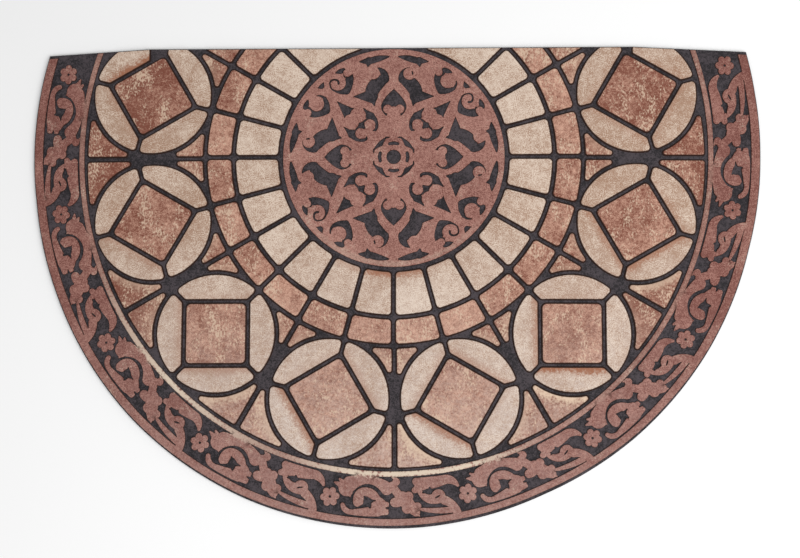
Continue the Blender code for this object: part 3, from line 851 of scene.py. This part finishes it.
def embossed(name, outlines, heights, soft_edge, foot_spread=0.0, prints=None):
    """A closed piece with sloping walls, a rounded edge and a flat top over plan outlines.

    heights are those of its underside, of the foot of its rounded edge and of its top, in metres.
    prints gives the burnt edge and the mood of a point, for the number of the outline it is in.
    """
    signs = [1 if area_of(loop) > 0 else -1 for loop in outlines]
    ridges = [inset(loop, soft_edge / MM) for loop in outlines]
    spots, pieces, owners = meshed(outlines, ridges)
    solid = []
    tile_of = {}
    for piece, owner in zip(pieces, owners):
        if sum(signs[i] for i in owner) > 0:
            solid.append(piece)
            tile_of.update((v, min(owner)) for v in piece)
    feet = {}
    for loop in outlines if foot_spread else ():
        for point, moved in zip(loop, inset(loop, -foot_spread / MM)):
            feet[address(point)] = held_back(moved)
    tree = tree_of(outlines)
    middle = plan_middle()
    bottom, foot, top = heights
    places = []
    number = {}
    for v in sorted({v for piece in solid for v in piece}):
        point = spots[v]
        below = feet.get(address(point), point)
        from_edge = tree.find((point.real, point.imag, 0.0))[2] * MM
        height = foot + (top - foot) * min(from_edge / soft_edge, 1.0)
        number[v] = len(places)
        places.append(placed(point, height, middle))
        places.append(placed(below, bottom, middle))
    faces = []
    edges = {(a, b) for piece in solid for a, b in zip(piece, piece[1:] + piece[:1])}
    for piece in solid:
        faces.append([number[v] for v in piece[::-1]])
        faces.append([number[v] + 1 for v in piece])
    for a, b in sorted(edges):
        if (b, a) not in edges:
            faces.append([number[a], number[b], number[b] + 1, number[a] + 1])
    mesh = bpy.data.meshes.new(name)
    mesh.from_pydata(places, [], faces)
    mesh.shade_smooth()
    mesh.set_sharp_from_angle(angle=math.radians(SHARP_ANGLE))
    if prints:
        owned = [(first, tile_of[v], spots[v]) for v, first in number.items()]
        carry_prints(mesh, owned, prints, middle)
    piece = bpy.data.objects.new(name, mesh)
    bpy.context.scene.collection.objects.link(piece)
    normals = piece.modifiers.new("even_top", "WEIGHTED_NORMAL")
    normals.keep_sharp = True
    return piece


# Materials


def add(tree, kind, inputs=None, output=0, **settings):
    """Add a node, set its options, give its sockets values or links, and return an output."""
    made = tree.nodes.new("ShaderNode" + kind)
    for name, value in settings.items():
        setattr(made, name, value)
    for socket, value in (inputs or {}).items():
        if isinstance(value, bpy.types.NodeSocket):
            tree.links.new(value, made.inputs[socket])
        else:
            made.inputs[socket].default_value = value
    return made.outputs[output] if made.outputs else made


def blank(name):
    """A new material's tree with nothing in it."""
    material = bpy.data.materials.new(name)
    material.use_nodes = True
    material.node_tree.nodes.clear()
    return material, material.node_tree


def mottled(tree, place, layers):
    """A share about one half that noises of several sizes, in millimetres, push up and down."""
    share = 0.5
    for size, strength in layers:
        pattern = add(tree, "TexNoise", {
            "Vector": place, "Scale": 1.0 / (size * MM), "Detail": NOISE_DETAIL,
            "Roughness": NOISE_ROUGHNESS})
        swing = add(tree, "Math", {0: pattern, 1: strength, 2: -strength / 2},
                    operation="MULTIPLY_ADD")
        share = add(tree, "Math", {0: swing, 1: share}, operation="ADD")
    return share


def grained(tree, place, grain):
    """A normal that small grains of a size, detail, strength and height bump."""
    size, detail, strength, height = grain
    pattern = add(tree, "TexNoise", {
        "Vector": place, "Scale": 1.0 / (size * MM), "Detail": detail})
    return add(tree, "Bump", {"Height": pattern, "Strength": strength, "Distance": height * MM})


def flocked_print(name, recipe, colours):
    """Nylon flock, printed: a dense, dull pile of short upright fibres.

    It scatters light like felt, with no shine and a faint pale bloom at grazing angles. The fibre
    tips give a fine grain, the print imitates weathered stone, and the pile is dark at its root,
    partly its own colour and partly painted shade where its edge slopes into a joint.
    """
    light, deep, edge_tint, faded_and_sheen, fleck_tint = [
        list(getattr(colours, part)) for part in recipe["colours"]]
    material, tree = blank(name)
    place = add(tree, "TexCoord", output="Object")
    mood, edge = [
        add(tree, "SeparateXYZ", {
            0: add(tree, "Attribute", output="Vector", attribute_name=part)}).node.outputs
        for part in ("mood", "burnt_edge")]
    share = mottled(tree, place, recipe["layers"])
    share = add(tree, "Math", {0: mood[0], 1: recipe["mood"], 2: share}, operation="MULTIPLY_ADD",
                use_clamp=True)
    colour = add(tree, "Mix", {0: share, 6: deep, 7: light}, output=2, data_type="RGBA")

    # towards the curved edge the print's own fading and a painted sheen make it paler and greyer
    ragged = mottled(tree, place, RAGGED)
    along = add(tree, "SeparateXYZ", {0: place}).node.outputs
    begin, full, strength = recipe["fade_and_sheen"]
    fade_and_sheen = add(tree, "MapRange", {
        "Value": along[1], "From Min": begin * MM, "From Max": full * MM})
    fade_and_sheen = add(tree, "Math", {0: fade_and_sheen, 1: ragged}, operation="MULTIPLY")
    fade_and_sheen = add(tree, "Math", {0: fade_and_sheen, 1: strength}, operation="MULTIPLY", use_clamp=True)

    # a ragged band along one edge of a tile, printed in another colour
    fray, full, end = recipe["edge"]
    flat = add(tree, "VectorMath", {0: place, 1: (1.0, 1.0, 0.0)}, operation="MULTIPLY")
    centre = add(tree, "CombineXYZ", {0: edge[0], 1: edge[1]})
    reach = add(tree, "VectorMath", {0: flat, 1: centre}, output="Value", operation="DISTANCE")
    away = add(tree, "Math", {0: reach, 1: edge[2]}, operation="SUBTRACT")
    away = add(tree, "Math", {0: away}, operation="ABSOLUTE")
    away = add(tree, "Math", {0: ragged, 1: fray * MM, 2: away}, operation="MULTIPLY_ADD")
    band = add(tree, "MapRange", {"Value": away, "From Min": full * MM, "From Max": end * MM,
                                  "To Min": 1.0, "To Max": 0.0}, interpolation_type="SMOOTHSTEP")
    band = add(tree, "Math", {0: band, 1: mood[2]}, operation="MULTIPLY")

    # pale flecks like the scratches in a stone
    drawn_out = add(tree, "VectorMath", {0: place, 1: (1.0, recipe["drawn"], 1.0)},
                    operation="MULTIPLY")
    worn = mottled(tree, drawn_out, recipe["flecks"])
    worn = add(tree, "MapRange", {"Value": worn, "From Min": FLECK_SPAN[0],
                                  "From Max": FLECK_SPAN[1], "To Max": FLECK_MOST})
    for share, tint in ((fade_and_sheen, faded_and_sheen), (band, edge_tint), (worn, fleck_tint)):
        colour = add(tree, "Mix", {0: share, 6: colour, 7: tint}, output=2, data_type="RGBA")

    # the pile's dark root, where its edge slopes: partly the flock's own, partly painted shade
    frayed = add(tree, "Math", {0: ragged, 1: ROOT_SHADE_FRAY * MM, 2: along[2]},
                 operation="MULTIPLY_ADD")
    dark, clear = [THICKNESS + height * MM for height in ROOT_SHADE_SPAN]
    pile = add(tree, "MapRange", {"Value": frayed, "From Min": dark, "From Max": clear},
               interpolation_type="SMOOTHSTEP")
    colour = add(tree, "Mix", {0: pile, 6: list(colours.root), 7: colour}, output=2,
                 data_type="RGBA")
    shader = add(tree, "BsdfPrincipled", {
        "Base Color": colour, "Roughness": 0.95, "IOR": 1.45, "Specular IOR Level": 0.15,
        "Sheen Weight": 0.06, "Sheen Roughness": 0.5, "Normal": grained(tree, place, TIPS)})
    add(tree, "OutputMaterial", {"Surface": shader})
    return material


def moulded_rubber(colours):
    """Recycled crumb rubber, hot pressed: dark and dull, with pale crumbs and a pebbled skin."""
    material, tree = blank("moulded_crumb_rubber")
    place = add(tree, "TexCoord", output="Object")
    tone = mottled(tree, place, RUBBER_TONES)
    colour = add(tree, "Mix", {0: tone, 6: list(colours.rubber), 7: list(colours.rubber_grain)},
                 output=2, data_type="RGBA")
    shader = add(tree, "BsdfPrincipled", {
        "Base Color": colour, "Roughness": 0.8, "IOR": 1.52, "Specular IOR Level": 0.25,
        "Normal": grained(tree, place, CRUMBS)})
    add(tree, "OutputMaterial", {"Surface": shader})
    return material


def finish_piece(piece, material):
    piece.data.materials.append(material)
    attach(piece, "root")


def raise_flock(scene, kind, foot_spread, pieces):
    """Build the pieces that stand up from the base with one kind of print.

    A piece is its name, its outlines and what the print does on it.
    """
    sizes = scene.doormat_sizes
    heights = (THICKNESS - sizes.relief - sizes.sink, THICKNESS - sizes.soft_drop, THICKNESS)
    flock = flocked_print("printed_nylon_flock_" + kind, PRINTS[kind], scene.doormat_colours)
    for name, outlines, prints in pieces:
        piece = embossed(name, outlines, heights, sizes.soft_edge, foot_spread, prints)
        finish_piece(piece, flock)


def with_moods(groups, seed):
    """Outlines of trimmed tiles, and what the print does on each.

    A group is its mood, with how far single tiles stray from it, and the tiles.
    """
    dice = random.Random(seed)
    outlines = []
    prints = []
    for (mood, stray), tiles in groups:
        for outline, edge in tiles:
            kept = trim(outline)
            if len(kept) > 2 and area_of(kept) > CHIP:
                outlines.append(kept)
                prints.append((edge, mood + stray * dice.uniform(-1.0, 1.0)))
    return outlines, lambda tile, point: prints[tile]


def strip_print(tile, point):
    """Where the print is worn on the strip round the field."""
    turn = turn_of(point)
    worn = max(most * (1.0 - abs(turn - middle) / reach) for middle, reach, most in STRIP_WORN)
    radius = curve_at(turn)[0] + (FIELD_JOINT + STRIP_INNER) / 2
    return (0j, radius, min(max(worn, STRIP_WORN_LEAST), 1.0)), STRIP_MOOD


def rim_print(tile, point):
    """Where the print is worn on the medallion's rim, towards the curved edge."""
    reach, fade, strength = RIM_WORN
    worn = min(max((reach - abs(turn_of(point) - QUARTER)) / fade, 0.0), 1.0)
    return (0j, MEDALLION - MEDALLION_RIM / 2, strength * worn), RIM_MOOD


class DOORMAT_OT_base(bpy.types.Operator):
    """Build the rubber base with its rim and its underside"""
    bl_idname = "doormat.base"
    bl_label = "Rubber base"

    def execute(self, context):
        sizes = context.scene.doormat_sizes
        floor = THICKNESS - sizes.relief
        heights = (0.0, floor - sizes.soft_drop, floor)
        piece = embossed("rubber_base", [base_outline()], heights, sizes.soft_edge)
        finish_piece(piece, moulded_rubber(context.scene.doormat_colours))
        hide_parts("mat")
        return {"FINISHED"}


class DOORMAT_OT_cream_tiles(bpy.types.Operator):
    """Build the cream ring and the lenses of the circle units"""
    bl_idname = "doormat.cream_tiles"
    bl_label = "Cream tiles"

    def execute(self, context):
        ring = ring_tiles(CREAM_RING, CREAM_STAINS)
        lenses = [lens_tiles(unit) for unit in UNITS]
        for unit, lens, stop, run in LENS_STOPS:
            outline, edge = lenses[unit][lens]
            lenses[unit][lens] = (clip(outline, complex(stop), run), edge)
        lenses = [lens for four in lenses[1:-1] for lens in four]
        outlines, prints = with_moods(((RING_MOOD, ring), (LENS_MOOD, lenses)), PRINT_SEED)
        raise_flock(context.scene, "cream", context.scene.doormat_sizes.tile_foot,
                    [("cream_tiles", outlines, prints)])
        return {"FINISHED"}


class DOORMAT_OT_clay_tiles(bpy.types.Operator):
    """Build the terracotta ring, the squares and the triangles between the circle units"""
    bl_idname = "doormat.clay_tiles"
    bl_label = "Terracotta tiles"

    def execute(self, context):
        triangles = [spandrel_tiles(before, after, pales)
                     for before, after, pales in zip(UNITS, UNITS[1:], SPANDREL_PALE)]
        groups = [(RING_MOOD, ring_tiles(CLAY_RING, {}))]
        groups += [((unit[3], 0.0), [(square_tile(unit), (0j, FIELD_INNER, 0.0))])
                   for unit in UNITS[1:-1]]
        groups.append((INNER_MOOD, [tile for four in triangles for tile in four[:2]]))
        groups.append((OUTER_MOOD, [tile for four in triangles for tile in four[2:]]))
        outlines, prints = with_moods(groups, PRINT_SEED + 1)
        raise_flock(context.scene, "clay", context.scene.doormat_sizes.tile_foot,
                    [("clay_tiles", outlines, prints)])
        return {"FINISHED"}


class DOORMAT_OT_lace(bpy.types.Operator):
    """Build the medallion's straps and leaves and the border's strips, scrolls and flowers"""
    bl_idname = "doormat.lace"
    bl_label = "Medallion and border"

    def execute(self, context):
        raise_flock(context.scene, "rose", context.scene.doormat_sizes.lace_foot, [
            ("medallion", painted(medallion_layers()), rim_print),
            ("border", painted(border_layers()), strip_print),
        ])
        return {"FINISHED"}


class DOORMAT_OT_stage(bpy.types.Operator):
    """Build the floor, the lights and the camera"""
    bl_idname = "doormat.stage"
    bl_label = "Stage"

    def execute(self, context):
        scene = context.scene
        stage = scene.doormat_stage
        mesh = bpy.data.meshes.new("floor")
        far = FLOOR_REACH
        mesh.from_pydata([(-far, -far, 0), (far, -far, 0), (far, far, 0), (-far, far, 0)],
                         [], [(0, 1, 2, 3)])
        floor = bpy.data.objects.new("floor", mesh)
        floor.location = (0.0, 0.0, -FLOOR_DROP)
        scene.collection.objects.link(floor)
        material, tree = blank("matt_paper_floor")
        shader = add(tree, "BsdfPrincipled", {
            "Base Color": list(stage.floor), "Roughness": 0.9, "Specular IOR Level": 0.1})
        add(tree, "OutputMaterial", {"Surface": shader})
        mesh.materials.append(material)
        lamp = bpy.data.lights.new("soft_box", "AREA")
        lamp.shape = "RECTANGLE"
        lamp.size, lamp.size_y = LAMP_SIZE
        lamp.energy = stage.soft_light
        soft_box = bpy.data.objects.new("soft_box", lamp)
        soft_box.location = LAMP_PLACE
        soft_box.rotation_euler = (-soft_box.location).to_track_quat("-Z", "Y").to_euler()
        scene.collection.objects.link(soft_box)
        world = bpy.data.worlds.new("even_room_light")
        world.use_nodes = True
        background = world.node_tree.nodes["Background"]
        background.inputs["Color"].default_value = (1.0, 1.0, 1.0, 1.0)
        background.inputs["Strength"].default_value = stage.room_light
        scene.world = world
        view = bpy.data.cameras.new("camera")
        view.lens = stage.lens
        camera = bpy.data.objects.new("camera", view)
        camera.location = CAMERA_PLACE
        camera.rotation_euler = [math.radians(angle) for angle in CAMERA_ANGLES]
        scene.collection.objects.link(camera)
        scene.camera = camera
        # plain display of the light that reaches the camera, so that colours keep their values
        scene.view_settings.view_transform = "Standard"
        return {"FINISHED"}


class DOORMAT_PT_panel(bpy.types.Panel):
    """Buttons for the mat's pieces, and its sizes and colours"""
    bl_label = "Doormat"
    bl_space_type = "VIEW_3D"
    bl_region_type = "UI"
    bl_category = "Doormat"

    def draw(self, context):
        scene = context.scene
        for maker in MAKERS:
            self.layout.operator(maker.bl_idname)
        for group in (scene.doormat_sizes, scene.doormat_colours, scene.doormat_stage):
            for name in group.__annotations__:
                self.layout.prop(group, name)


MAKERS = (DOORMAT_OT_stage, DOORMAT_OT_base, DOORMAT_OT_cream_tiles, DOORMAT_OT_clay_tiles,
          DOORMAT_OT_lace)
GROUPS = (
    ("doormat_sizes", DoormatSizes),
    ("doormat_colours", DoormatColours),
    ("doormat_stage", DoormatStage),
)


def register():
    for name, group in GROUPS:
        bpy.utils.register_class(group)
        setattr(bpy.types.Scene, name, PointerProperty(type=group))
    for maker in MAKERS + (DOORMAT_PT_panel,):
        bpy.utils.register_class(maker)


def unregister():
    for maker in MAKERS + (DOORMAT_PT_panel,):
        bpy.utils.unregister_class(maker)
    for name, group in GROUPS:
        delattr(bpy.types.Scene, name)
        bpy.utils.unregister_class(group)


def main():
    register()
    bpy.ops.doormat.stage()
    bpy.ops.doormat.base()
    bpy.ops.doormat.cream_tiles()
    bpy.ops.doormat.clay_tiles()
    bpy.ops.doormat.lace()
    bpy.context.view_layer.update()


if __name__ == "__main__":
    main()
